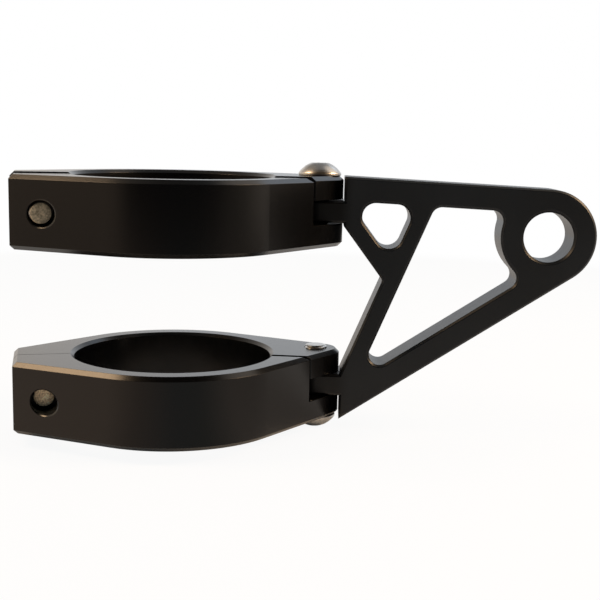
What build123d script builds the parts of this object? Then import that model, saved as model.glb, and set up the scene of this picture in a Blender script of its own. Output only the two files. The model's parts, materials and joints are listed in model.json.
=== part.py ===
from build123d import *
import os
from math import acos, asin, atan2, cos, hypot, radians, sin, tan

# Headlight mounting bracket: two split fork clamps, one above the other, hinged to an open triangular arm
# that ends in an eye for the headlight's bolt. Millimetres, +Z up along the fork leg.
# The origin is on the axis of the fork bores, level with the middle of the arm's upper tongue.
# +X runs from the bores to the hinge, and -Y is the side of the front halves.

# Fork clamps
FORK_D = 43.0
RING_WALL = 4.9
CLAMP_HEIGHT = 15.3
FINGER_HEIGHT = 5.1
HINGE_REACH = 32.6
KNUCKLE_D = 10.7
END_REACH = 34.2
END_WIDTH = 15.5
OUTER_CHAMFER = 0.9
BORE_CHAMFER = 0.7
CLAMP_PITCH = 38.9
# Height by which a rear half stands above its front half, taken up by play in the hinge
UPPER_SPREAD = 0.3
LOWER_SPREAD = 0.0

# Split between the halves: straight at the screwed end, slanted beside the hinge
SPLIT_ANGLE = 19.2
END_SPLIT_GAP = 0.2
HINGE_SPLIT_GAP = 0.6

# Headlight arm
ARM_SWING = -15.0
ARM_THICKNESS = 10.0
ARM_GAP = 0.2
ARM_TOE = 0.25
TONGUE_PLAY = 0.1
EYE_REACH = 50.6
EYE_DROP = 4.5
EYE_D = 11.0
EYE_OUTER_D = 21.0
EYE_CHAMFER = 0.55
STRUT_DROP = 0.6
KNEE_REACH = 14.45
KNEE_DROP = 14.85
RAIL = 5.35
STRUT = 3.95
BRANCH = 3.7
TRIANGLE_FILLET = 3.0
OPENING_FILLET = 2.4
KNEE_FILLET = 1.0
FOOT_FILLET = 1.2
ARM_CHAMFER = 0.5

# Button head screws
SCREW_D = 5.0
HEAD_D = 9.5
HEAD_HEIGHT = 2.75
HEAD_RIM = 0.5
CROWN_D = 3.7
DOME_STEPS = 4
SOCKET_FLATS = 3.0
SOCKET_DEPTH = 1.6
TIP_CHAMFER = 0.6
HINGE_SCREW_LENGTH = 16.0
UPPER_CLAMP_SCREW_LENGTH = 16.0
LOWER_CLAMP_SCREW_LENGTH = 12.0

# Screw holes, with the play on the radius
CLAMP_SCREW_INSET = 6.3
THREAD_PLAY = 0.05
HINGE_PLAY = 0.05
THROUGH_PLAY = 0.1
HEAD_PLAY = 0.3
TIP_POCKET_D = 5.4
TIP_POCKET_FLOOR = 5.5
MOUTH_CHAMFER = 0.25
HEAD_SEAT = 5.0

# Worked out from the sizes above
bore_r = FORK_D / 2
ring_r = bore_r + RING_WALL
knuckle_r = KNUCKLE_D / 2
half_height = CLAMP_HEIGHT / 2
half_thickness = ARM_THICKNESS / 2
eye_outer_r = EYE_OUTER_D / 2
clamp_screw_reach = END_REACH - CLAMP_SCREW_INSET
split_slope = tan(radians(SPLIT_ANGLE))
thread_d = SCREW_D + 2 * THREAD_PLAY
through_d = SCREW_D + 2 * THROUGH_PLAY
head_r = HEAD_D / 2
crown_r = CROWN_D / 2
dome_middle = (HEAD_HEIGHT**2 + crown_r**2 - HEAD_RIM**2 - head_r**2) / (2 * (HEAD_HEIGHT - HEAD_RIM))
dome_r = hypot(head_r, HEAD_RIM - dome_middle)
tongue_height = CLAMP_HEIGHT - 2 * FINGER_HEIGHT - 2 * TONGUE_PLAY
plan_limit = END_REACH + HINGE_REACH + ring_r
tolerance = 1e-4

os.makedirs("parts", exist_ok=True)


def tangent_point(corner, centre, radius, side):
    """Where a line from a corner touches a circle, on the left of its way there (side 1) or the right (-1)."""
    back_x = corner[0] - centre[0]
    back_y = corner[1] - centre[1]
    angle = atan2(back_y, back_x) - side * acos(radius / hypot(back_x, back_y))
    return (centre[0] + radius * cos(angle), centre[1] + radius * sin(angle))


def shifted(start, end, distance):
    """The line from start to end, moved to the left of its direction by a distance."""
    share = distance / hypot(end[0] - start[0], end[1] - start[1])
    step_x = -(end[1] - start[1]) * share
    step_y = (end[0] - start[0]) * share
    return ((start[0] + step_x, start[1] + step_y), (end[0] + step_x, end[1] + step_y))


def crossing(first, second):
    """Where two lines, each given by two points, cross."""
    (ax, ay), (bx, by) = first
    (cx, cy), (dx, dy) = second
    share = ((cx - ax) * (dy - cy) - (cy - ay) * (dx - cx)) / ((bx - ax) * (dy - cy) - (by - ay) * (dx - cx))
    return (ax + share * (bx - ax), ay + share * (by - ay))


def split_line(slope):
    """Three points of the split in plan: along the screwed end, then off to the hinge at a slope."""
    end_y = -END_SPLIT_GAP / 2
    slant_y = -HINGE_SPLIT_GAP / 2 * hypot(1, slope)
    bend_x = (end_y - slant_y) / slope
    return [(-plan_limit, end_y), (bend_x, end_y), (plan_limit, slope * plan_limit + slant_y)]


def lies_on(edge, place, start, end):
    """True if an edge lies on the line through two plan points of a clamp half."""
    run = Vector(*end) - Vector(*start)
    points = [place.to_local_coords(edge.position_at(share)) - Vector(*start) for share in (0, 0.5, 1)]
    return all(abs(run.X * point.Y - run.Y * point.X) < tolerance * run.length for point in points)


def clamp_half(name, height, turned_over, hinge_hole_d, bolt_hole_d, pocket_d, pocket_floor):
    """One half of a fork clamp, on the -y side of its plane: full height as far as the slanted split, with one
    finger that reaches on round the hinge. A rear half is turned over, with its finger on top."""
    flip = -1 if turned_over else 1
    place = Plane(origin=(0, 0, height), x_dir=(1, 0, 0), z_dir=(0, 0, flip))
    up = Axis(place.origin, place.z_dir)
    with BuildPart() as half:
        for slope, layer in ((-split_slope, CLAMP_HEIGHT), (split_slope, FINGER_HEIGHT)):
            with BuildSketch(place.offset(-half_height)):
                with BuildLine():
                    Polyline(left_low, end_low, end_high, left_high)
                    ThreePointArc(left_high, (0, ring_r), right_high)
                    Line(right_high, knuckle_high)
                    ThreePointArc(knuckle_high, (HINGE_REACH + knuckle_r, 0), knuckle_low)
                    Line(knuckle_low, right_low)
                    ThreePointArc(right_low, (0, -ring_r), left_low)
                make_face()
                with BuildLine():
                    Polyline(*split_line(slope), (plan_limit, plan_limit), (-plan_limit, plan_limit), close=True)
                make_face(mode=Mode.SUBTRACT)
            extrude(amount=layer)

        # Chamfers round the outside and on the full-height body's slanted split
        end_split = split_line(split_slope)[0:2]
        finger_split = split_line(split_slope)[1:3]
        levels = half.faces().filter_by(up).sort_by(up)
        outer_edges = [
            edge
            for edge in levels[0].edges() + levels[-1].edges()
            if not lies_on(edge, place, *end_split) and not lies_on(edge, place, *finger_split)
        ]
        chamfer(outer_edges, OUTER_CHAMFER)

        # Fork bore with chamfered mouths
        with BuildSketch(place.offset(-half_height)):
            Circle(bore_r)
        extrude(amount=CLAMP_HEIGHT, mode=Mode.SUBTRACT)
        for side in (-1, 1):
            with BuildSketch(place.offset(side * half_height)):
                Circle(bore_r + BORE_CHAMFER)
            with BuildSketch(place.offset(side * (half_height - BORE_CHAMFER))):
                Circle(bore_r)
            loft(mode=Mode.SUBTRACT)

        # Hinge hole
        with BuildSketch(place.offset(-half_height)):
            with Locations((HINGE_REACH, 0)):
                Circle(hinge_hole_d / 2)
        extrude(amount=CLAMP_HEIGHT, mode=Mode.SUBTRACT)

        # Clamp screw hole, with a wider pocket that opens in the tapered outer face
        bolt_plane = Plane(origin=(-clamp_screw_reach, 0, height), x_dir=(1, 0, 0), z_dir=(0, -flip, 0))
        for floor, diameter in ((0, bolt_hole_d), (pocket_floor, pocket_d)):
            with BuildSketch(bolt_plane.offset(floor)):
                Circle(diameter / 2)
            extrude(amount=ring_r, mode=Mode.SUBTRACT)
        mouths = [edge for edge in half.edges().filter_by(GeomType.ELLIPSE) if edge.is_closed]
        if mouths:
            chamfer(mouths, MOUTH_CHAMFER)
    half.part.label = name
    export_step(half.part, f"parts/{name}.step")


def button_screw(name, origin, direction, length):
    """A button head screw: its head stands on the origin along a direction, and its shank runs the other way."""
    seat = Plane(origin=origin, z_dir=direction)
    section = Plane(origin=origin, x_dir=seat.x_dir, z_dir=seat.x_dir.cross(seat.z_dir))
    rim_turn = asin(head_r / dome_r)
    step_turn = (rim_turn - asin(crown_r / dome_r)) / DOME_STEPS
    dome_turns = [rim_turn - step_turn * step for step in range(DOME_STEPS + 1)]
    dome = [(dome_r * sin(turn), dome_middle + dome_r * cos(turn)) for turn in dome_turns]
    with BuildPart() as screw:
        with BuildSketch(section):
            with BuildLine():
                Polyline(
                    (0, HEAD_HEIGHT),
                    (0, -length),
                    (SCREW_D / 2 - TIP_CHAMFER, -length),
                    (SCREW_D / 2, -length + TIP_CHAMFER),
                    (SCREW_D / 2, 0),
                    (head_r, 0),
                    *dome,
                    close=True,
                )
            make_face()
        revolve(axis=Axis(origin, direction))
        with BuildSketch(seat.offset(HEAD_HEIGHT)):
            RegularPolygon(radius=SOCKET_FLATS / 2, side_count=6, major_radius=False)
        extrude(amount=-SOCKET_DEPTH, mode=Mode.SUBTRACT)
    screw.part.label = name
    export_step(screw.part, f"parts/{name}.step")


# Plan of a closed clamp: the ring, tapered by tangents to the screwed end and to the hinge knuckle
lean = asin((ring_r - knuckle_r) / HINGE_REACH)
end_high = (-END_REACH, END_WIDTH / 2)
end_low = (-END_REACH, -END_WIDTH / 2)
left_high = tangent_point(end_high, (0, 0), ring_r, 1)
left_low = tangent_point(end_low, (0, 0), ring_r, -1)
right_high = (ring_r * sin(lean), ring_r * cos(lean))
right_low = (ring_r * sin(lean), -ring_r * cos(lean))
knuckle_high = (HINGE_REACH + knuckle_r * sin(lean), knuckle_r * cos(lean))
knuckle_low = (HINGE_REACH + knuckle_r * sin(lean), -knuckle_r * cos(lean))

# Clamp halves
front_bolt = (thread_d, TIP_POCKET_D, TIP_POCKET_FLOOR)
for clamp, middle, spread, front_hinge_d, rear_hinge_d in (
    ("upper", 0, UPPER_SPREAD, thread_d, through_d),
    ("lower", -CLAMP_PITCH, LOWER_SPREAD, through_d, thread_d),
):
    bolt_through_d = through_d + 2 * spread
    head_pocket_d = HEAD_D + 2 * (spread + HEAD_PLAY)
    clamp_half(f"{clamp}_clamp_front_half", middle - spread / 2, False, front_hinge_d, *front_bolt)
    rear_bolt = (bolt_through_d, head_pocket_d, HEAD_SEAT)
    clamp_half(f"{clamp}_clamp_rear_half", middle + spread / 2, True, rear_hinge_d, *rear_bolt)

# Headlight arm: its outline is drawn in the arm's own plane, with x from the hinge axis
swing = radians(ARM_SWING)
arm_plane = Plane(origin=(HINGE_REACH, 0, 0), x_dir=(cos(swing), sin(swing), 0), z_dir=(sin(swing), -cos(swing), 0))
hinge_axis = Axis((HINGE_REACH, 0, 0), (0, 0, 1))
arm_start = knuckle_r + ARM_GAP
top_left = (arm_start, half_height + UPPER_SPREAD / 2)
bottom_left = (arm_start, -CLAMP_PITCH - half_height - LOWER_SPREAD / 2 - ARM_TOE)
eye = (EYE_REACH, -EYE_DROP)
eye_high = tangent_point(top_left, eye, eye_outer_r, 1)
eye_low = tangent_point(bottom_left, eye, eye_outer_r, -1)
eye_far = Vector(*eye) + (Vector(*eye_high) + Vector(*eye_low) - Vector(*eye) * 2).normalized() * eye_outer_r
half_tongue = tongue_height / 2
head = (arm_start, -half_tongue - STRUT_DROP)
knee = (KNEE_REACH, -KNEE_DROP)
foot = (arm_start, -CLAMP_PITCH + half_tongue)

top_edge = shifted(top_left, eye_high, -RAIL)
bottom_edge = shifted(bottom_left, eye_low, RAIL)
triangle_left = shifted(head, knee, STRUT)
opening_left = shifted(foot, knee, -STRUT)
triangle_right = shifted(foot, knee, BRANCH - STRUT)
eye_line = ((EYE_REACH, -CLAMP_PITCH), (EYE_REACH, half_height))

with BuildPart() as arm:
    with BuildSketch(arm_plane):
        with BuildLine():
            Line(top_left, eye_high)
            ThreePointArc(eye_high, eye_far, eye_low)
            Polyline(
                eye_low,
                bottom_left,
                (arm_start, -CLAMP_PITCH - half_tongue),
                (0, -CLAMP_PITCH - half_tongue),
                (0, -CLAMP_PITCH + half_tongue),
                foot,
                knee,
                head,
                (arm_start, -half_tongue),
                (0, -half_tongue),
                (0, half_tongue),
                (arm_start, half_tongue),
                top_left,
            )
        profile = make_face()
        fillet(profile.vertices().sort_by_distance(knee)[0], KNEE_FILLET)
        fillet(profile.vertices().sort_by_distance(foot)[0], FOOT_FILLET)
    extrude(amount=half_thickness, both=True)

    # Triangular opening beside the hinge, large opening up to the eye, and the eye
    with BuildSketch(arm_plane) as triangle:
        with BuildLine():
            Polyline(
                crossing(top_edge, triangle_left),
                crossing(triangle_left, triangle_right),
                crossing(triangle_right, top_edge),
                close=True,
            )
        make_face()
        fillet(triangle.vertices(), TRIANGLE_FILLET)
    extrude(amount=half_thickness, both=True, mode=Mode.SUBTRACT)
    with BuildSketch(arm_plane) as opening:
        with BuildLine():
            Polyline(
                crossing(top_edge, opening_left),
                crossing(opening_left, bottom_edge),
                crossing(bottom_edge, eye_line),
                crossing(eye_line, top_edge),
                close=True,
            )
        make_face()
        with Locations(eye):
            Circle(eye_outer_r, mode=Mode.SUBTRACT)
        fillet(opening.vertices(), OPENING_FILLET)
    extrude(amount=half_thickness, both=True, mode=Mode.SUBTRACT)
    with BuildSketch(arm_plane):
        with Locations(eye):
            Circle(EYE_D / 2)
    extrude(amount=half_thickness, both=True, mode=Mode.SUBTRACT)

    # Chamfers on both faces, apart from the tongues' ends, which go on round the hinge
    across = Axis(arm_plane.origin, arm_plane.z_dir)
    sides = arm.faces().filter_by(across).sort_by(across)
    side_edges = sides[0].edges() + sides[-1].edges()
    eye_rims = side_edges.filter_by(GeomType.CIRCLE).filter_by(lambda edge: edge.is_closed)
    chamfer(eye_rims, EYE_CHAMFER)
    sides = arm.faces().filter_by(across).sort_by(across)
    outline_edges = [
        edge
        for edge in sides[0].edges() + sides[-1].edges()
        if not edge.is_closed and arm_plane.to_local_coords(edge.position_at(0.5)).X > tolerance
    ]
    chamfer(outline_edges, ARM_CHAMFER)

    # Round ends of the tongues, and the hinge hole through both
    with BuildSketch(arm_plane) as rounds:
        with Locations((half_thickness / 2, 0), (half_thickness / 2, -CLAMP_PITCH)):
            Rectangle(half_thickness, tongue_height)
        chamfer(rounds.vertices().group_by(Axis.X)[-1], ARM_CHAMFER)
    revolve(axis=hinge_axis)
    with BuildSketch(Plane.XY.offset(-CLAMP_PITCH - half_height)):
        with Locations((HINGE_REACH, 0)):
            Circle(SCREW_D / 2 + HINGE_PLAY)
    extrude(amount=CLAMP_PITCH + CLAMP_HEIGHT, mode=Mode.SUBTRACT)
arm.part.label = "headlight_arm"
export_step(arm.part, "parts/headlight_arm.step")

# Screws: the upper hinge screw goes down, the lower one up, and the clamp screws come from the rear
hinge_top = half_height + UPPER_SPREAD / 2
hinge_bottom = -CLAMP_PITCH - half_height - LOWER_SPREAD / 2
upper_bolt_height = -UPPER_SPREAD / 2
lower_bolt_height = -CLAMP_PITCH - LOWER_SPREAD / 2
button_screw("upper_hinge_screw", (HINGE_REACH, 0, hinge_top), (0, 0, 1), HINGE_SCREW_LENGTH)
button_screw("lower_hinge_screw", (HINGE_REACH, 0, hinge_bottom), (0, 0, -1), HINGE_SCREW_LENGTH)
for clamp, height, length in (
    ("upper", upper_bolt_height, UPPER_CLAMP_SCREW_LENGTH),
    ("lower", lower_bolt_height, LOWER_CLAMP_SCREW_LENGTH),
):
    button_screw(f"{clamp}_clamp_screw", (-clamp_screw_reach, HEAD_SEAT, height), (0, 1, 0), length)
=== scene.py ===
import json
import math

import bmesh
import bpy
from bpy.props import (
    FloatProperty,
    FloatVectorProperty,
    IntProperty,
    PointerProperty,
)
from mathutils import Matrix, Vector

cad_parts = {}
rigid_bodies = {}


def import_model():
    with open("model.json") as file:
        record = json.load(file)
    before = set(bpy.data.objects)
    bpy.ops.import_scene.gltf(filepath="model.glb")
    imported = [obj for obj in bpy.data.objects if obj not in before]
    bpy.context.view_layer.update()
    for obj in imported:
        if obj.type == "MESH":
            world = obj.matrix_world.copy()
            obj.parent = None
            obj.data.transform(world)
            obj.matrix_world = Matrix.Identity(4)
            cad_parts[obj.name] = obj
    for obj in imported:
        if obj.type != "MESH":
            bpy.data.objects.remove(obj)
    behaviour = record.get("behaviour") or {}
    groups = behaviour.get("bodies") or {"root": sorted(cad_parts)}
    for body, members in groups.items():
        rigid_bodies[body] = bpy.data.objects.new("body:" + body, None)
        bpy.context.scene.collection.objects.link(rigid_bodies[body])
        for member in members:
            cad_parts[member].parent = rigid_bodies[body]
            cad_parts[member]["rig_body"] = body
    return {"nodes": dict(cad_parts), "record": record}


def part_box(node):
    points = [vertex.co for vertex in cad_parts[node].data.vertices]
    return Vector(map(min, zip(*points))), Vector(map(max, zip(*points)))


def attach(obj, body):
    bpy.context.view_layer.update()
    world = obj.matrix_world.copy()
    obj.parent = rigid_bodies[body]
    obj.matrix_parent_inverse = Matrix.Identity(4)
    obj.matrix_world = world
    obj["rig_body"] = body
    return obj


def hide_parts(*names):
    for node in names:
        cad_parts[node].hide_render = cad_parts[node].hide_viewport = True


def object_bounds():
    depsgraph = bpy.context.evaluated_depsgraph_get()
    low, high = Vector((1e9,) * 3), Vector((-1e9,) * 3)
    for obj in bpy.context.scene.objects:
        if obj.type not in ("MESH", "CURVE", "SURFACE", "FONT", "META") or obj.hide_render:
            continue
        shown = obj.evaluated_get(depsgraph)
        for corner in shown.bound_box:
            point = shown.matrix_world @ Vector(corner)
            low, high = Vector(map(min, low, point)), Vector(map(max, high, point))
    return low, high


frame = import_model()
CAD_LOW, CAD_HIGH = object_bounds()

bl_info = {
    "name": "Headlight bracket",
    "version": (1, 0, 0),
    "blender": (4, 5, 0),
    "location": "3D View > Sidebar > Bracket",
    "description": "Gives the headlight bracket its finish, its screws and a plain studio stage",
    "category": "Object",
}

MM = 0.001
WHITE = (1.0, 1.0, 1.0, 1.0)

CLAMP_NODES = (
    "upper_clamp_front_half",
    "upper_clamp_rear_half",
    "lower_clamp_front_half",
    "lower_clamp_rear_half",
)
ARM_NODES = ("headlight_arm",)
JOINTS = {joint["name"]: joint for joint in frame["record"]["behaviour"]["joints"]}
TINTS = {material["slot"]: material["base_color"] for material in frame["record"]["materials"]}

# A point on the axis that both hinges turn on
HINGE = JOINTS["arm_hinge"]["pos_m"]

# Anodised aluminium: shine is the share by which a broken edge is smoother than the faces beside it, and
# the arm's black turns to grey over the span, measured from the hinges' axis; the black near the hinges is
# painted shade from the clamps' fingers
ANODISED = (0.0013, 0.0013, 0.0015)
ANODISED_ROUGHNESS = 0.23
ANODISED_IOR = 1.5
GRAIN = 0.00022
GRAIN_DEPTH = 0.00002
ARM_SHINE = 0.45
CLAMP_SHINE = 0.0
HINGE_SHADE_SPAN = (6.5 * MM, 9.5 * MM)

# Dust: the largest share of the cells that hold a speck, and the specks' colour
DUST_CELLS = 0.1
DUST_COLOUR = (0.35, 0.34, 0.32, 1.0)

# Stainless steel, and the yellow tint of the screws' sawn ends, which is partly painted warm light
STEEL = TINTS["stainless"]
STEEL_ROUGHNESS = 0.3
TURNING_DEPTH = 0.00002
END_WARM_TINT = (1.0, 0.86, 0.63)
SAWN_METAL = 0.7
SAWN_ROUGHNESS = 0.4
SAWN_DEPTH = 0.00006

# Each clamp screw's node, with the name of its end's finish and the brightness painted into that end in
# place of the light that reaches it
CLAMP_SCREWS = (
    ("upper_clamp_screw", "Worn screw end", 1.0),
    ("lower_clamp_screw", "Fresh screw end", 1.6),
)

# Depths of the socket's drilled cone below its flats, at half the socket's width and in its middle
CONE_HALFWAY = 0.18 * MM
CONE_MIDDLE = 0.3 * MM

# Width of the small breaks along a screw's edges, and the rows of faces over the dome of its head
EDGE_BREAK = 0.12 * MM
DOME_STEPS = 12

# A screw's end: how far its edge lies inside the thread's crests, the lengths of the plain points,
# and the height up to which faces have the end's finish
END_STEP = 0.35 * MM
HINGE_POINT = 0.0
CLAMP_POINT = 0.6 * MM
END_FACE = 0.1 * MM

# Angle between two faces from which the edge between them looks sharp
SHARP_ANGLE = math.radians(35)

# Thread: its depth as a share of the pitch, the rings in each turn, and where a flank starts and its slope
THREAD_DEPTH = 0.6
THREAD_RINGS = 8
FLANK_START = 1.25
FLANK_SLOPE = 3.2

# Rings of a screw's end: shares of the end's radius, and heights above its middle in millimetres
END_RINGS = (
    (0.97, 0.05),
    (0.91, 0.02),
    (0.6, 0.01),
    (0.3, 0.0),
)

# Floor: half its width, where it stands, the span over which it runs out to white, and its paleness
FLOOR_REACH = 6.0
FLOOR_PLACE = (0.02, 0.0)
FLOOR_SPAN = (0.1, 0.4)
FLOOR_PALE = 0.92
FLOOR_ROUGHNESS = 0.9
FILL_COLOUR = (0.88, 0.95, 1.0, 1.0)

# Tent: a glowing shell of painted reflections, seen only in reflections. Its floor reaches from the rim to
# an oval hole round the bracket, given in shares of the rim.
# It lies just above the real floor, and a direction that rises less than the level meets it
TENT_RADIUS = 0.5
TENT_RIM = 0.499
TENT_HOLE = (0.084, 0.062)
TENT_SIDES = 48
TENT_ROWS = 24
TENT_LIFT = 0.05 * MM
TENT_LEVEL = 0.0005

# Painted reflections: tones that the tent's glowing cloth shows along X, from -1 on the left to 1 on the
# right
BACK_REFLECTIONS = (
    (-1.0, (1.0, 0.78, 0.52)),
    (-0.7, (1.0, 0.88, 0.76)),
    (-0.1, (1.0, 0.94, 0.88)),
    (0.15, (0.95, 0.97, 1.0)),
    (0.75, (0.88, 0.94, 1.0)),
    (0.93, (0.6, 0.53, 0.47)),
    (1.0, (0.64, 0.55, 0.47)),
)
FRONT_REFLECTIONS = (
    (-1.0, (0.45, 0.34, 0.25)),
    (-0.86, (0.42, 0.32, 0.24)),
    (-0.72, (0.04, 0.035, 0.03)),
    (-0.5, (0.01, 0.01, 0.014)),
    (0.5, (0.01, 0.01, 0.014)),
    (0.85, (0.22, 0.2, 0.17)),
    (1.0, (0.64, 0.55, 0.47)),
)
FLOOR_REFLECTIONS = (
    (-1.0, (0.7, 0.54, 0.42)),
    (-0.8, (0.64, 0.49, 0.38)),
    (-0.55, (0.42, 0.33, 0.27)),
    (-0.1, (0.24, 0.24, 0.23)),
    (0.25, (0.24, 0.24, 0.22)),
    (0.65, (0.5, 0.42, 0.36)),
    (1.0, (0.34, 0.29, 0.25)),
)
BACK_FLOOR_REFLECTION = (0.93, 0.86, 0.79, 1.0)
# Painted highlight: a warm patch in the tent, its tone and the way it lies from the bracket
WARM_HIGHLIGHT_TONE = (1.1, 0.98, 0.86, 1.0)
WARM_HIGHLIGHT_WAY = (0.6, 0.1, 0.79)

# Lamps: name, direction from their target, distance and width, radiance of the face, and their colour
LAMP_TARGET = (0.03, 0.0, -0.02)
LAMPS = (
    ("warm_left", (-0.71, 0.04, 0.7), 0.385, 0.13, 11.0, "warm"),
    ("warm_right", (0.782, -0.316, 0.536), 0.414, 0.16, 17.0, "warm"),
    ("cool_back", (0.583, 0.471, 0.664), 0.384, 0.1, 1.0, "cool"),
)

# Camera: its place, and the degrees by which it is turned left, lowered and rolled
CAMERA_PLACE = (-0.02648, -0.22659, 0.016155)
CAMERA_TURN = -13.68
CAMERA_LOWERED = 8.89
CAMERA_ROLL = 1.27
SENSOR_WIDTH = 36.0
CLIP_SPAN = (0.01, 50.0)


class BracketFinish(bpy.types.PropertyGroup):
    """Colours and surface of the anodised aluminium and of the steel."""

    anodised: FloatVectorProperty(
        name="Anodised colour", description="Colour of the anodised aluminium",
        subtype="COLOR", min=0.0, max=1.0, default=ANODISED,
    )
    arm: FloatVectorProperty(
        name="Arm colour", description="Colour of the arm's greyer anodising",
        subtype="COLOR", min=0.0, max=1.0, default=(0.0072, 0.0097, 0.0128),
    )
    anodised_roughness: FloatProperty(
        name="Anodised roughness", description="How far the satin surface spreads reflections",
        subtype="FACTOR", min=0.05, max=1.0, default=ANODISED_ROUGHNESS,
    )
    arm_roughness: FloatProperty(
        name="Arm roughness", description="How far the arm's finer blasted surface spreads reflections",
        subtype="FACTOR", min=0.05, max=1.0, default=0.39,
    )
    clamp_edge: FloatProperty(
        name="Clamp edge", description="Radius to which the clamps' edges look rounded",
        subtype="DISTANCE", unit="LENGTH", min=0.0, max=0.001, default=0.08 * MM,
    )
    arm_edge: FloatProperty(
        name="Arm edge", description="Radius to which the arm's edges look rounded",
        subtype="DISTANCE", unit="LENGTH", min=0.0, max=0.001, default=0.32 * MM,
    )
    grain: FloatProperty(
        name="Grain size", description="Width of the anodised surface's fine grain",
        subtype="DISTANCE", unit="LENGTH", min=0.00005, max=0.005, default=GRAIN,
    )
    dust: FloatProperty(
        name="Dust", description="Share of the surface's dust specks that show",
        subtype="FACTOR", min=0.0, max=1.0, default=0.5,
    )
    steel: FloatVectorProperty(
        name="Steel colour", description="Colour of the stainless screws",
        subtype="COLOR", min=0.0, max=1.0, default=STEEL,
    )
    steel_roughness: FloatProperty(
        name="Steel roughness", description="How far the screws spread reflections",
        subtype="FACTOR", min=0.05, max=1.0, default=STEEL_ROUGHNESS,
    )


class BracketScrews(bpy.types.PropertyGroup):
    """Sizes of the button head screws that the CAD model leaves plain."""

    head_height: FloatProperty(
        name="Head height", description="Height of the button head above its seat",
        subtype="DISTANCE", unit="LENGTH", min=0.001, max=0.005, default=2.75 * MM,
    )
    rim: FloatProperty(
        name="Rim", description="Height of the head's straight rim under the dome",
        subtype="DISTANCE", unit="LENGTH", min=0.0001, max=0.0015, default=0.5 * MM,
    )
    crown: FloatProperty(
        name="Crown diameter", description="Diameter of the flat crown round the socket",
        subtype="DISTANCE", unit="LENGTH", min=0.0036, max=0.006, default=3.9 * MM,
    )
    socket: FloatProperty(
        name="Socket width", description="Width of the hexagon socket across its flats",
        subtype="DISTANCE", unit="LENGTH", min=0.001, max=0.0031, default=3.0 * MM,
    )
    socket_depth: FloatProperty(
        name="Socket depth", description="Depth of the socket's flats",
        subtype="DISTANCE", unit="LENGTH", min=0.0005, max=0.0025, default=1.6 * MM,
    )
    shank: FloatProperty(
        name="Thread diameter", description="Diameter over the thread's crests",
        subtype="DISTANCE", unit="LENGTH", min=0.003, max=0.005, default=4.96 * MM,
    )
    pitch: FloatProperty(
        name="Thread pitch", description="Rise of the thread in one turn",
        subtype="DISTANCE", unit="LENGTH", min=0.0004, max=0.002, default=0.8 * MM,
    )
    segments: IntProperty(
        name="Segments", description="Faces round a screw, in whole sixths",
        min=24, max=192, step=6, default=72,
    )


class BracketStage(bpy.types.PropertyGroup):
    """Colours of the floor and the lamps, the level of the fill light, and the camera's lens."""

    floor: FloatVectorProperty(
        name="Floor colour", description="Colour of the floor round the bracket",
        subtype="COLOR", min=0.0, max=1.0, default=(0.93, 0.925, 0.915),
    )
    warm: FloatVectorProperty(
        name="Warm lamp", description="Colour of the lamps on the left and on the right",
        subtype="COLOR", min=0.0, max=1.0, default=(1.0, 0.68, 0.4),
    )
    cool: FloatVectorProperty(
        name="Cool lamp", description="Colour of the lamp behind on the right",
        subtype="COLOR", min=0.0, max=1.0, default=(0.66, 0.8, 1.0),
    )
    fill: FloatProperty(
        name="Fill", description="Level of the even light from all round",
        min=0.0, max=2.0, default=0.5,
    )
    lens: FloatProperty(
        name="Lens", description="Focal length of the camera's lens",
        subtype="DISTANCE_CAMERA", unit="CAMERA", min=20.0, max=200.0, default=62.56,
    )


def new_group(name, inputs, outputs):
    """A shader node group with named sockets, and its input and output nodes."""
    tree = bpy.data.node_groups.new(name, "ShaderNodeTree")
    for socket, kind, default in inputs:
        made = tree.interface.new_socket(socket, in_out="INPUT", socket_type=kind)
        made.default_value = default
    for socket, kind in outputs:
        tree.interface.new_socket(socket, in_out="OUTPUT", socket_type=kind)
    return tree, tree.nodes.new("NodeGroupInput"), tree.nodes.new("NodeGroupOutput")


def add(tree, kind, label="", inputs=None, **settings):
    """A new node with these settings; inputs holds values and links by the socket's name or place."""
    node = tree.nodes.new(kind)
    node.label = label
    for key, value in settings.items():
        setattr(node, key, value)
    for key, value in (inputs or {}).items():
        socket = node.inputs[key]
        if isinstance(value, bpy.types.NodeSocket):
            tree.links.new(value, socket)
        else:
            socket.default_value = value
    return node


def own_place(tree):
    """The point on the surface, in the piece's own frame."""
    return add(tree, "ShaderNodeTexCoord").outputs["Object"]


def noise(tree, label, place, scale, detail, roughness=0.5):
    """A cloudy value from 0 to 1."""
    inputs = {"Vector": place, "Scale": scale, "Detail": detail, "Roughness": roughness}
    return add(tree, "ShaderNodeTexNoise", label, inputs).outputs["Fac"]


def graded(tree, label, value, span, result, interpolation="LINEAR"):
    """A value that runs over the result's two numbers while another runs over the span."""
    inputs = {
        "Value": value,
        "From Min": span[0],
        "From Max": span[1],
        "To Min": result[0],
        "To Max": result[1],
    }
    node = add(tree, "ShaderNodeMapRange", label, inputs, interpolation_type=interpolation)
    return node.outputs["Result"]


def eased(tree, label, value, span, result):
    """As graded, with a soft start and end."""
    return graded(tree, label, value, span, result, "SMOOTHSTEP")


def worked(tree, operation, *values):
    """The result of a sum on numbers."""
    return add(tree, "ShaderNodeMath", "", dict(enumerate(values)), operation=operation).outputs["Value"]


def measured(tree, operation, *vectors):
    """A length, a distance or a dot product of vectors."""
    node = add(tree, "ShaderNodeVectorMath", "", dict(enumerate(vectors)), operation=operation)
    return node.outputs["Value"]


def scaled(tree, colour, factor):
    """A colour times a factor."""
    inputs = {0: colour, "Scale": factor}
    return add(tree, "ShaderNodeVectorMath", "", inputs, operation="SCALE").outputs["Vector"]


def mixed(tree, label, factor, first, second):
    """A colour between two others, the first at factor 0 and the second at factor 1."""
    inputs = {"Factor": factor, 6: first, 7: second}
    return add(tree, "ShaderNodeMix", label, inputs, data_type="RGBA").outputs[2]


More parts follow.
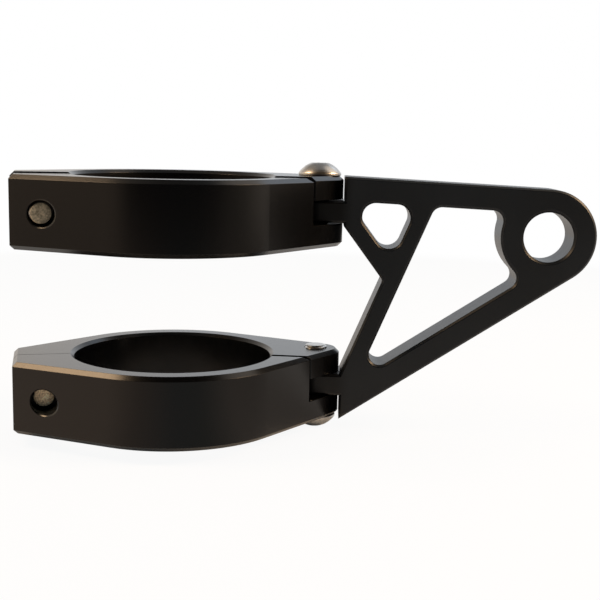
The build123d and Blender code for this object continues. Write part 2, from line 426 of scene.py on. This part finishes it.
def flattened(tree, place):
    """A point without its height, and the node that gives its parts."""
    parts = add(tree, "ShaderNodeSeparateXYZ", "", {"Vector": place})
    flat = add(tree, "ShaderNodeCombineXYZ", "", {"X": parts.outputs["X"], "Y": parts.outputs["Y"]})
    return flat.outputs["Vector"], parts


def satin_grain_group():
    """Fine satin grain of anodised metal: a varying colour, roughness and height."""
    tree, source, sink = new_group(
        "Satin grain",
        [
            ("Colour", "NodeSocketColor", (*ANODISED, 1.0)),
            ("Roughness", "NodeSocketFloat", ANODISED_ROUGHNESS),
            ("Grain size", "NodeSocketFloat", GRAIN),
        ],
        [("Colour", "NodeSocketColor"), ("Roughness", "NodeSocketFloat"), ("Height", "NodeSocketFloat")],
    )
    place = own_place(tree)
    density = worked(tree, "DIVIDE", 1.0, source.outputs["Grain size"])
    fine = noise(tree, "Grain", place, density, detail=2.0, roughness=0.6)
    tall = add(tree, "ShaderNodeMapping", "Tool marks", {"Vector": place, "Scale": (1.0, 1.0, 0.08)})
    marks = noise(tree, "Tool marks", tall.outputs["Vector"], 900.0, detail=3.0, roughness=0.55)
    cloud = noise(tree, "Bath", place, 45.0, detail=2.0)
    shade = graded(tree, "Bath", cloud, (0.25, 0.75), (0.75, 1.25))
    spread = graded(tree, "Tool marks", marks, (0.2, 0.8), (0.94, 1.06))
    tinted = scaled(tree, source.outputs["Colour"], shade)
    rough = worked(tree, "MULTIPLY", source.outputs["Roughness"], spread)
    height = worked(tree, "MULTIPLY_ADD", marks, 0.15, fine)
    tree.links.new(tinted, sink.inputs["Colour"])
    tree.links.new(rough, sink.inputs["Roughness"])
    tree.links.new(height, sink.inputs["Height"])
    return tree


def dust_group():
    """Sparse pale specks: a mask that is one on a speck."""
    tree, source, sink = new_group(
        "Dust specks",
        [("Amount", "NodeSocketFloat", DUST_CELLS)],
        [("Mask", "NodeSocketFloat")],
    )
    inputs = {"Vector": own_place(tree), "Scale": 170.0, "Randomness": 1.0}
    cells = add(tree, "ShaderNodeTexVoronoi", "Specks", inputs)
    speck = graded(tree, "Specks", cells.outputs["Distance"], (0.025, 0.05), (1.0, 0.0))
    chosen = add(tree, "ShaderNodeSeparateColor", "", {"Color": cells.outputs["Color"]})
    shown = worked(tree, "LESS_THAN", chosen.outputs["Red"], source.outputs["Amount"])
    mask = worked(tree, "MULTIPLY", speck, shown)
    tree.links.new(mask, sink.inputs["Mask"])
    return tree


def broken_edges_group():
    """Edges rounded by tumbling: a normal that turns over each edge, and a mask that is one there."""
    tree, source, sink = new_group(
        "Broken edges",
        [("Radius", "NodeSocketFloat", 0.3 * MM)],
        [("Normal", "NodeSocketVector"), ("Mask", "NodeSocketFloat")],
    )
    rounded = add(tree, "ShaderNodeBevel", "", {"Radius": source.outputs["Radius"]}, samples=16)
    plain = add(tree, "ShaderNodeNewGeometry")
    alike = measured(tree, "DOT_PRODUCT", rounded.outputs["Normal"], plain.outputs["Normal"])
    mask = graded(tree, "Edge", alike, (0.995, 0.97), (0.0, 1.0))
    tree.links.new(rounded.outputs["Normal"], sink.inputs["Normal"])
    tree.links.new(mask, sink.inputs["Mask"])
    return tree


def turned_steel_group():
    """Steel turned round the piece's own Z axis: a varying colour, roughness and height."""
    tree, source, sink = new_group(
        "Turned steel",
        [
            ("Colour", "NodeSocketColor", (*STEEL, 1.0)),
            ("Roughness", "NodeSocketFloat", STEEL_ROUGHNESS),
        ],
        [("Colour", "NodeSocketColor"), ("Roughness", "NodeSocketFloat"), ("Height", "NodeSocketFloat")],
    )
    place = own_place(tree)
    flat, parts = flattened(tree, place)
    radius = measured(tree, "LENGTH", flat)
    ring = add(tree, "ShaderNodeCombineXYZ", "", {"X": radius, "Y": parts.outputs["Z"]})
    rings = noise(tree, "Turning", ring.outputs["Vector"], 9000.0, detail=2.0, roughness=0.6)
    stain = noise(tree, "Stain", place, 900.0, detail=3.0, roughness=0.6)
    shade = graded(tree, "Stain", stain, (0.3, 0.7), (0.78, 1.04))
    spread = graded(tree, "Turning", rings, (0.3, 0.7), (0.8, 1.3))
    tinted = scaled(tree, source.outputs["Colour"], shade)
    rough = worked(tree, "MULTIPLY", source.outputs["Roughness"], spread)
    tree.links.new(tinted, sink.inputs["Colour"])
    tree.links.new(rough, sink.inputs["Roughness"])
    tree.links.new(rings, sink.inputs["Height"])
    return tree


def place_group(tree, name, maker, inputs):
    """A node for the group of that name, which is made on first use."""
    group = bpy.data.node_groups.get(name) or maker()
    return add(tree, "ShaderNodeGroup", name, inputs, name=name, node_tree=group)


def blank_material(name):
    """A material with one Principled shader, its node tree and that shader."""
    material = bpy.data.materials.new(name)
    material.use_nodes = True
    tree = material.node_tree
    return material, tree, tree.nodes["Principled BSDF"]


def anodised_material(name, finish, colour, roughness, edge, shine):
    """Black satin anodised aluminium with a fine grain, broken edges and a few dust specks."""
    material, tree, shader = blank_material(name)
    inputs = {"Colour": (*colour, 1.0), "Roughness": roughness, "Grain size": finish.grain}
    grain = place_group(tree, "Satin grain", satin_grain_group, inputs)
    dust = place_group(tree, "Dust specks", dust_group, {"Amount": finish.dust * DUST_CELLS})
    edges = place_group(tree, "Broken edges", broken_edges_group, {"Radius": edge})
    dusty = mixed(tree, "Dust", dust.outputs["Mask"], grain.outputs["Colour"], DUST_COLOUR)
    smooth = graded(tree, "Smooth edges", edges.outputs["Mask"], (0.0, 1.0), (1.0, 1.0 - shine))
    rough = worked(tree, "MULTIPLY", grain.outputs["Roughness"], smooth)
    inputs = {
        "Strength": 0.08,
        "Distance": GRAIN_DEPTH,
        "Height": grain.outputs["Height"],
        "Normal": edges.outputs["Normal"],
    }
    bump = add(tree, "ShaderNodeBump", "Grain", inputs)
    tree.links.new(dusty, shader.inputs["Base Color"])
    tree.links.new(rough, shader.inputs["Roughness"])
    tree.links.new(bump.outputs["Normal"], shader.inputs["Normal"])
    shader.inputs["IOR"].default_value = ANODISED_IOR
    return material


def clamp_material(finish):
    """The clamps' black anodising."""
    return anodised_material(
        "Black anodised clamp", finish,
        finish.anodised, finish.anodised_roughness, finish.clamp_edge, CLAMP_SHINE,
    )


def arm_material(finish):
    """The arm's greyer anodising, with painted shade that keeps it black round the hinges, where the
    clamps' fingers shade it.
    """
    material = anodised_material(
        "Black anodised arm", finish,
        finish.arm, finish.arm_roughness, finish.arm_edge, ARM_SHINE,
    )
    tree = material.node_tree
    # Painted shade: near the hinges the arm keeps the clamps' black, where the fingers shade it, and turns
    # grey further out
    flat, _ = flattened(tree, own_place(tree))
    reach = measured(tree, "DISTANCE", flat, HINGE)
    away = eased(tree, "Away from the hinge", reach, HINGE_SHADE_SPAN, (0.0, 1.0))
    colour = mixed(tree, "Painted hinge shade", away, (*finish.anodised, 1.0), (*finish.arm, 1.0))
    tree.links.new(colour, tree.nodes["Satin grain"].inputs["Colour"])
    return material


def steel_material(finish):
    """Bright stainless steel with fine turning rings and a slight stain."""
    material, tree, shader = blank_material("Stainless")
    inputs = {"Colour": (*finish.steel, 1.0), "Roughness": finish.steel_roughness}
    turned = place_group(tree, "Turned steel", turned_steel_group, inputs)
    inputs = {"Strength": 0.15, "Distance": TURNING_DEPTH, "Height": turned.outputs["Height"]}
    bump = add(tree, "ShaderNodeBump", "Turning", inputs)
    tree.links.new(turned.outputs["Colour"], shader.inputs["Base Color"])
    tree.links.new(turned.outputs["Roughness"], shader.inputs["Roughness"])
    tree.links.new(bump.outputs["Normal"], shader.inputs["Normal"])
    shader.inputs["Metallic"].default_value = 1.0
    return material


def screw_end_material(name, finish, painted_light):
    """The sawn end of a screw: dull and rough, with a yellow tint that is partly painted warm light and a
    painted brightness for the light that reaches it.
    """
    material, tree, shader = blank_material(name)
    place = own_place(tree)
    marks = noise(tree, "Sawn", place, 2600.0, detail=4.0, roughness=0.65)
    stain = noise(tree, "Stain", place, 700.0, detail=2.0)
    # Painted light: the warm tint and this screw's brightness lift the end's colour in place of the light
    # that reaches it
    warm_tinted = Vector(finish.steel) * Vector(END_WARM_TINT) * painted_light
    level = graded(tree, "Stain", stain, (0.3, 0.7), (0.7, 1.2))
    pits = graded(tree, "Pits", marks, (0.35, 0.6), (0.45, 1.15))
    colour = scaled(tree, warm_tinted, worked(tree, "MULTIPLY", level, pits))
    bump = add(tree, "ShaderNodeBump", "Sawn", {"Strength": 0.5, "Distance": SAWN_DEPTH, "Height": marks})
    tree.links.new(colour, shader.inputs["Base Color"])
    tree.links.new(bump.outputs["Normal"], shader.inputs["Normal"])
    shader.inputs["Metallic"].default_value = SAWN_METAL
    shader.inputs["Roughness"].default_value = SAWN_ROUGHNESS
    return material


def hexagon_radius(flats, angle):
    """Distance from the middle of a hexagon of that width across flats to its edge, at an angle."""
    turn = math.pi / 3
    return flats / 2 / math.cos((angle + turn / 2) % turn - turn / 2)


def thread_radius(crest, pitch, depth, angle, height):
    """Radius of a right-hand thread at a point, with flat crests and roots."""
    phase = (height / pitch - angle / (2 * math.pi)) % 1.0
    return crest - depth * min(1.0, max(0.0, FLANK_START - abs(phase - 0.5) * FLANK_SLOPE))


def ring_points(count, radius_at, height):
    """Points round the Z axis at a height, from a function of the angle for their radius."""
    points = []
    for index in range(count):
        angle = 2 * math.pi * index / count
        radius = radius_at(angle)
        points.append(Vector((radius * math.cos(angle), radius * math.sin(angle), height)))
    return points


def skin(mesh_name, rings, first_end, last_end):
    """A closed mesh over rings of points, with a point to close each end and its sharp edges kept."""
    work = bmesh.new()
    rows = [[work.verts.new(point) for point in ring] for ring in rings]
    count = len(rings[0])
    for low, high in zip(rows, rows[1:]):
        for index in range(count):
            after = (index + 1) % count
            work.faces.new((low[index], low[after], high[after], high[index]))
    for end, row in ((first_end, rows[0]), (last_end, rows[-1])):
        tip = work.verts.new(end)
        for index in range(count):
            after = (index + 1) % count
            work.faces.new((tip, row[index], row[after]))
    bmesh.ops.recalc_face_normals(work, faces=work.faces)
    for face in work.faces:
        face.smooth = True
    for edge in work.edges:
        edge.smooth = edge.calc_face_angle(0.0) < SHARP_ANGLE
    mesh = bpy.data.meshes.new(mesh_name)
    work.to_mesh(mesh)
    work.free()
    return mesh


def socket_rings(sizes):
    """Rings up the hexagon socket, from its drilled cone to its mouth."""
    floor = sizes.head_height - sizes.socket_depth
    rows = (
        (sizes.socket * 0.5, floor - CONE_HALFWAY),
        (sizes.socket - EDGE_BREAK, floor),
        (sizes.socket, floor + EDGE_BREAK),
        (sizes.socket, sizes.head_height - 2 * EDGE_BREAK),
        (sizes.socket + EDGE_BREAK, sizes.head_height - EDGE_BREAK / 2),
    )
    rings = []
    for flats, height in rows:
        rings.append(ring_points(sizes.segments, lambda angle: hexagon_radius(flats, angle), height))
    return rings


def head_rows(head_r, sizes):
    """Radii and heights from the crown over the dome and the rim to the seat."""
    crown_r = sizes.crown / 2
    rise = sizes.head_height - sizes.rim
    middle = (crown_r**2 + sizes.head_height**2 - head_r**2 - sizes.rim**2) / (2 * rise)
    ball = math.hypot(head_r, sizes.rim - middle)
    first = math.atan2(sizes.head_height - middle, crown_r)
    last = math.atan2(sizes.rim - middle, head_r)
    rows = [(crown_r - EDGE_BREAK, sizes.head_height)]
    for step in range(DOME_STEPS + 1):
        angle = first + (last - first) * step / DOME_STEPS
        rows.append((ball * math.cos(angle), middle + ball * math.sin(angle)))
    rows.append((head_r, sizes.rim - EDGE_BREAK))
    rows.append((head_r, EDGE_BREAK))
    rows.append((head_r - EDGE_BREAK, 0.0))
    return rows


def thread_rings(crest, end_r, length, point, sizes):
    """Rings down the thread, which tapers to the end's radius over its last part."""
    depth = THREAD_DEPTH * sizes.pitch
    count = math.ceil(length / sizes.pitch * THREAD_RINGS)
    rings = []
    for row in range(1, count):
        height = -length * row / count
        limit = end_r + max(0.0, length + height - point)

        def radius_at(angle):
            return min(limit, thread_radius(crest, sizes.pitch, depth, angle, height))

        rings.append(ring_points(sizes.segments, radius_at, height))
    return rings


def button_screw(name, head_d, length, point, sizes):
    """A button head screw whose head sits on z = 0 and whose shank runs down to a plain point."""
    crest = sizes.shank / 2
    end_r = crest - END_STEP

    def plain(radius, height):
        return ring_points(sizes.segments, lambda angle: radius, height)

    rings = socket_rings(sizes)
    rings += [plain(radius, height) for radius, height in head_rows(head_d / 2, sizes)]
    rings.append(plain(crest, 0.0))
    rings += thread_rings(crest, end_r, length, point, sizes)
    rings += [plain(end_r * share, -length + lift * MM) for share, lift in END_RINGS]
    bottom = sizes.head_height - sizes.socket_depth - CONE_MIDDLE
    mesh = skin(name, rings, (0, 0, bottom), (0, 0, -length))
    return bpy.data.objects.new(name, mesh)


def place_screw(node, axis, point, sizes, finish):
    """Stands a detailed screw in for a plain CAD one; axis points from its seat through its head."""
    low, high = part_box(node)
    along = Vector(axis)
    size = high - low
    whole = abs(size.dot(along))
    head_d = max(size[index] for index in range(3) if axis[index] == 0)
    far = (low + high) / 2 + along * (whole / 2)
    seat = far - along * sizes.head_height
    piece = button_screw(f"{node}_detail", head_d, whole - sizes.head_height, point, sizes)
    piece.data.materials.append(bpy.data.materials.get("Stainless") or steel_material(finish))
    bpy.context.scene.collection.objects.link(piece)
    piece.matrix_world = Matrix.Translation(seat) @ along.to_track_quat("Z", "Y").to_matrix().to_4x4()
    body = frame["nodes"][node]["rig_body"]
    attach(piece, body)
    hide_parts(node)
    return piece


class BRACKET_OT_anodise(bpy.types.Operator):
    """Give the clamp halves and the arm their anodised finish"""

    bl_idname = "bracket.anodise"
    bl_label = "Anodise aluminium"
    bl_options = {"REGISTER", "UNDO"}

    def execute(self, context):
        finish = context.scene.bracket_finish
        clamp = clamp_material(finish)
        arm = arm_material(finish)
        for names, material in ((CLAMP_NODES, clamp), (ARM_NODES, arm)):
            for name in names:
                node = frame["nodes"].get(name)
                if node is None:
                    raise RuntimeError(f"the CAD frame has no node {name}")
                node.data.materials.clear()
                node.data.materials.append(material)
        return {"FINISHED"}


class BRACKET_OT_hinge_screws(bpy.types.Operator):
    """Make the two hinge screws, the upper one from above and the lower one from below"""

    bl_idname = "bracket.hinge_screws"
    bl_label = "Make hinge screws"
    bl_options = {"REGISTER", "UNDO"}

    def execute(self, context):
        scene = context.scene
        for node, axis in (("upper_hinge_screw", (0, 0, 1)), ("lower_hinge_screw", (0, 0, -1))):
            place_screw(node, axis, HINGE_POINT, scene.bracket_screws, scene.bracket_finish)
        return {"FINISHED"}


class BRACKET_OT_clamp_screws(bpy.types.Operator):
    """Make the two clamp screws, put in from the rear"""

    bl_idname = "bracket.clamp_screws"
    bl_label = "Make clamp screws"
    bl_options = {"REGISTER", "UNDO"}

    def execute(self, context):
        scene = context.scene
        finish = scene.bracket_finish
        for node, name, painted_light in CLAMP_SCREWS:
            piece = place_screw(node, (0, 1, 0), CLAMP_POINT, scene.bracket_screws, finish)
            piece.data.materials.append(screw_end_material(name, finish, painted_light))
            lowest = min(vert.co.z for vert in piece.data.vertices)
            for face in piece.data.polygons:
                if face.center.z < lowest + END_FACE:
                    face.material_index = 1
        return {"FINISHED"}


def seen_directly(tree):
    """A factor that is one for camera, glossy and transmission rays."""
    path = add(tree, "ShaderNodeLightPath")
    either = worked(tree, "MAXIMUM", path.outputs["Is Camera Ray"], path.outputs["Is Glossy Ray"])
    return worked(tree, "MAXIMUM", either, path.outputs["Is Transmission Ray"])


def make_world(scene, stage):
    """White all round for what is seen directly, and an even fill light for the rest."""
    world = bpy.data.worlds.new("Studio")
    scene.world = world
    world.use_nodes = True
    tree = world.node_tree
    tree.nodes.clear()
    white = add(tree, "ShaderNodeBackground", "Seen", {"Color": WHITE, "Strength": 1.0})
    fill = add(tree, "ShaderNodeBackground", "Fill", {"Color": FILL_COLOUR, "Strength": stage.fill})
    inputs = {0: seen_directly(tree), 1: fill.outputs[0], 2: white.outputs[0]}
    both = add(tree, "ShaderNodeMixShader", "", inputs)
    add(tree, "ShaderNodeOutputWorld", "", {"Surface": both.outputs[0]})


def floor_material(stage):
    """Pale paper that runs out to white away from the bracket."""
    material, tree, shader = blank_material("Floor")
    place = own_place(tree)
    paper = noise(tree, "Paper", place, 30.0, detail=2.0)
    tone = graded(tree, "Paper", paper, (0.3, 0.7), (0.985, 1.0))
    tree.links.new(scaled(tree, stage.floor, tone), shader.inputs["Base Color"])
    shader.inputs["Roughness"].default_value = FLOOR_ROUGHNESS
    shader.inputs["Specular IOR Level"].default_value = 0.0
    white = add(tree, "ShaderNodeEmission", "", {"Color": WHITE, "Strength": 1.0})
    far = eased(tree, "Runs out", measured(tree, "LENGTH", place), FLOOR_SPAN, (0.0, 1.0))
    white_far = worked(tree, "MULTIPLY", far, seen_directly(tree))
    path = add(tree, "ShaderNodeLightPath")
    pale = worked(tree, "MULTIPLY", path.outputs["Is Camera Ray"], FLOOR_PALE)
    shown = worked(tree, "MAXIMUM", white_far, pale)
    both = add(tree, "ShaderNodeMixShader", "", {0: shown, 1: shader.outputs[0], 2: white.outputs[0]})
    tree.links.new(both.outputs[0], tree.nodes["Material Output"].inputs["Surface"])
    return material


def make_floor(scene, stage, height):
    """A pale floor that keeps the shadow near the bracket."""
    work = bmesh.new()
    bmesh.ops.create_grid(work, x_segments=8, y_segments=8, size=FLOOR_REACH)
    mesh = bpy.data.meshes.new("floor")
    work.to_mesh(mesh)
    work.free()
    mesh.materials.append(floor_material(stage))
    floor = bpy.data.objects.new("floor", mesh)
    scene.collection.objects.link(floor)
    floor.location = (*FLOOR_PLACE, height)


def tone_ramp(tree, label, across, tones):
    """A colour from tones given along the X part of a direction."""
    ramp = add(tree, "ShaderNodeValToRGB", label, {"Fac": across})
    stops = ramp.color_ramp.elements
    while len(stops) < len(tones):
        stops.new(0.5)
    for stop, (part, colour) in zip(stops, tones):
        stop.position = part / 2 + 0.5
        stop.color = (*colour, 1.0)
    return ramp.outputs["Color"]


def tent_mesh():
    """Half a ball on a flat floor with an oval hole in its middle."""
    work = bmesh.new()
    bmesh.ops.create_uvsphere(work, u_segments=TENT_SIDES, v_segments=TENT_ROWS, radius=TENT_RADIUS)
    low = [vert for vert in work.verts if vert.co.z < -MM]
    bmesh.ops.delete(work, geom=low, context="VERTS")
    across, deep = TENT_HOLE
    wide = [work.verts.new(point) for point in ring_points(TENT_SIDES, lambda angle: TENT_RIM, 0.0)]
    near = [work.verts.new((vert.co.x * across, vert.co.y * deep, 0.0)) for vert in wide]
    for index in range(TENT_SIDES):
        after = (index + 1) % TENT_SIDES
        work.faces.new((near[index], near[after], wide[after], wide[index]))
    mesh = bpy.data.meshes.new("screen")
    work.to_mesh(mesh)
    work.free()
    return mesh


def reflection_tent_material():
    """Glowing cloth of painted reflections: pale behind, dark in front and toned along the floor, with a
    painted warm highlight above.
    """
    material = bpy.data.materials.new("Screen")
    material.use_nodes = True
    material.cycles.emission_sampling = "NONE"
    tree = material.node_tree
    tree.nodes.clear()
    place = own_place(tree)
    way = add(tree, "ShaderNodeVectorMath", "", {0: place}, operation="NORMALIZE").outputs["Vector"]
    parts = add(tree, "ShaderNodeSeparateXYZ", "", {"Vector": way})
    upward = parts.outputs["Z"]
    across = worked(tree, "MULTIPLY_ADD", parts.outputs["X"], 0.5, 0.5)
    behind = eased(tree, "Behind", parts.outputs["Y"], (-0.15, -0.02), (0.0, 1.0))
    front_dim = eased(tree, "Front dims", upward, (0.3, 0.6), (1.0, 0.02))
    back_dim = eased(tree, "Back dims", upward, (0.35, 0.85), (1.0, 0.24))
    front = scaled(tree, tone_ramp(tree, "In front", across, FRONT_REFLECTIONS), front_dim)
    back = scaled(tree, tone_ramp(tree, "Behind", across, BACK_REFLECTIONS), back_dim)
    walls = mixed(tree, "Walls", behind, front, back)
    # Painted highlight: a warm patch of the tent that the arm's edges and the screws' rims reflect as
    # golden glints
    facing = measured(tree, "DOT_PRODUCT", way, WARM_HIGHLIGHT_WAY)
    panel = eased(tree, "Painted warm highlight", facing, (0.935, 0.975), (0.0, 1.0))
    walls = mixed(tree, "Painted warm highlight", panel, walls, WARM_HIGHLIGHT_TONE)
    fade = eased(tree, "Floor fades", measured(tree, "LENGTH", place), FLOOR_SPAN, (1.0, 0.3))
    near_floor = scaled(tree, tone_ramp(tree, "On the floor", across, FLOOR_REFLECTIONS), fade)
    floor = mixed(tree, "Floor", behind, near_floor, BACK_FLOOR_REFLECTION)
    level = worked(tree, "LESS_THAN", upward, TENT_LEVEL)
    # Painted reflections: the tent glows in these tones, and the metal and anodising show them as
    # reflections
    tone = mixed(tree, "Tent", level, walls, floor)
    glow = add(tree, "ShaderNodeEmission", "", {"Color": tone, "Strength": 1.0})
    add(tree, "ShaderNodeOutputMaterial", "", {"Surface": glow.outputs[0]})
    return material


def make_screen(scene, height):
    """A glowing tent round the bracket that paints what the bracket reflects; it is seen only in
    reflections.
    """
    mesh = tent_mesh()
    mesh.materials.append(reflection_tent_material())
    screen = bpy.data.objects.new("screen", mesh)
    scene.collection.objects.link(screen)
    screen.location = (0.0, 0.0, height + TENT_LIFT)
    screen.visible_camera = False
    screen.visible_diffuse = False
    screen.visible_shadow = False


def make_lamp(scene, name, direction, distance, size, radiance, colour):
    """A square area lamp that faces the bracket; radiance is that of its face."""
    lamp = bpy.data.lights.new(name, "AREA")
    lamp.shape = "SQUARE"
    lamp.size = size
    lamp.color = colour
    lamp.energy = radiance * math.pi * size**2
    held = bpy.data.objects.new(name, lamp)
    scene.collection.objects.link(held)
    away = Vector(direction).normalized()
    held.location = Vector(LAMP_TARGET) + away * distance
    held.rotation_mode = "QUATERNION"
    held.rotation_quaternion = away.to_track_quat("Z", "Y")
    held.visible_camera = False


def make_camera(scene, stage):
    """The camera at the photograph's place, fitted to its edges."""
    data = bpy.data.cameras.new("camera")
    data.sensor_width = SENSOR_WIDTH
    data.lens = stage.lens
    data.clip_start, data.clip_end = CLIP_SPAN
    camera = bpy.data.objects.new("camera", data)
    scene.collection.objects.link(camera)
    turn = Matrix.Rotation(math.radians(CAMERA_TURN), 4, "Z")
    tilt = Matrix.Rotation(math.radians(90.0 - CAMERA_LOWERED), 4, "X")
    roll = Matrix.Rotation(math.radians(CAMERA_ROLL), 4, "Z")
    camera.matrix_world = Matrix.Translation(CAMERA_PLACE) @ turn @ tilt @ roll
    scene.camera = camera


class BRACKET_OT_stage(bpy.types.Operator):
    """Set the floor, the light and the camera"""

    bl_idname = "bracket.stage"
    bl_label = "Set stage"
    bl_options = {"REGISTER", "UNDO"}

    def execute(self, context):
        scene = context.scene
        stage = scene.bracket_stage
        ground = CAD_LOW.z
        make_world(scene, stage)
        make_floor(scene, stage, ground)
        make_screen(scene, ground)
        for name, direction, distance, size, radiance, colour in LAMPS:
            make_lamp(scene, name, direction, distance, size, radiance, getattr(stage, colour))
        make_camera(scene, stage)
        scene.view_settings.view_transform = "Standard"
        return {"FINISHED"}


class BRACKET_PT_panel(bpy.types.Panel):
    """Sizes, colours and steps of the bracket"""

    bl_idname = "BRACKET_PT_panel"
    bl_label = "Headlight bracket"
    bl_space_type = "VIEW_3D"
    bl_region_type = "UI"
    bl_category = "Bracket"

    def draw(self, context):
        scene = context.scene
        for title, settings in (
            ("Finish", scene.bracket_finish),
            ("Screws", scene.bracket_screws),
            ("Stage", scene.bracket_stage),
        ):
            box = self.layout.box()
            box.label(text=title)
            for name in settings.bl_rna.properties.keys():
                if name not in ("rna_type", "name"):
                    box.prop(settings, name)
        for step in STEPS:
            self.layout.operator(step.bl_idname)


STEPS = (BRACKET_OT_anodise, BRACKET_OT_hinge_screws, BRACKET_OT_clamp_screws, BRACKET_OT_stage)
SETTINGS = (BracketFinish, BracketScrews, BracketStage)


def register():
    """Makes the settings, the steps and the panel known to Blender."""
    for item in (*SETTINGS, *STEPS, BRACKET_PT_panel):
        bpy.utils.register_class(item)
    bpy.types.Scene.bracket_finish = PointerProperty(type=BracketFinish)
    bpy.types.Scene.bracket_screws = PointerProperty(type=BracketScrews)
    bpy.types.Scene.bracket_stage = PointerProperty(type=BracketStage)


def unregister():
    """Takes back what register made known."""
    del bpy.types.Scene.bracket_stage
    del bpy.types.Scene.bracket_screws
    del bpy.types.Scene.bracket_finish
    for item in reversed((*SETTINGS, *STEPS, BRACKET_PT_panel)):
        bpy.utils.unregister_class(item)


def main():
    """Registers the add-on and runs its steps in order."""
    register()
    bpy.ops.bracket.anodise()
    bpy.ops.bracket.hinge_screws()
    bpy.ops.bracket.clamp_screws()
    bpy.ops.bracket.stage()


if __name__ == "__main__":
    main()
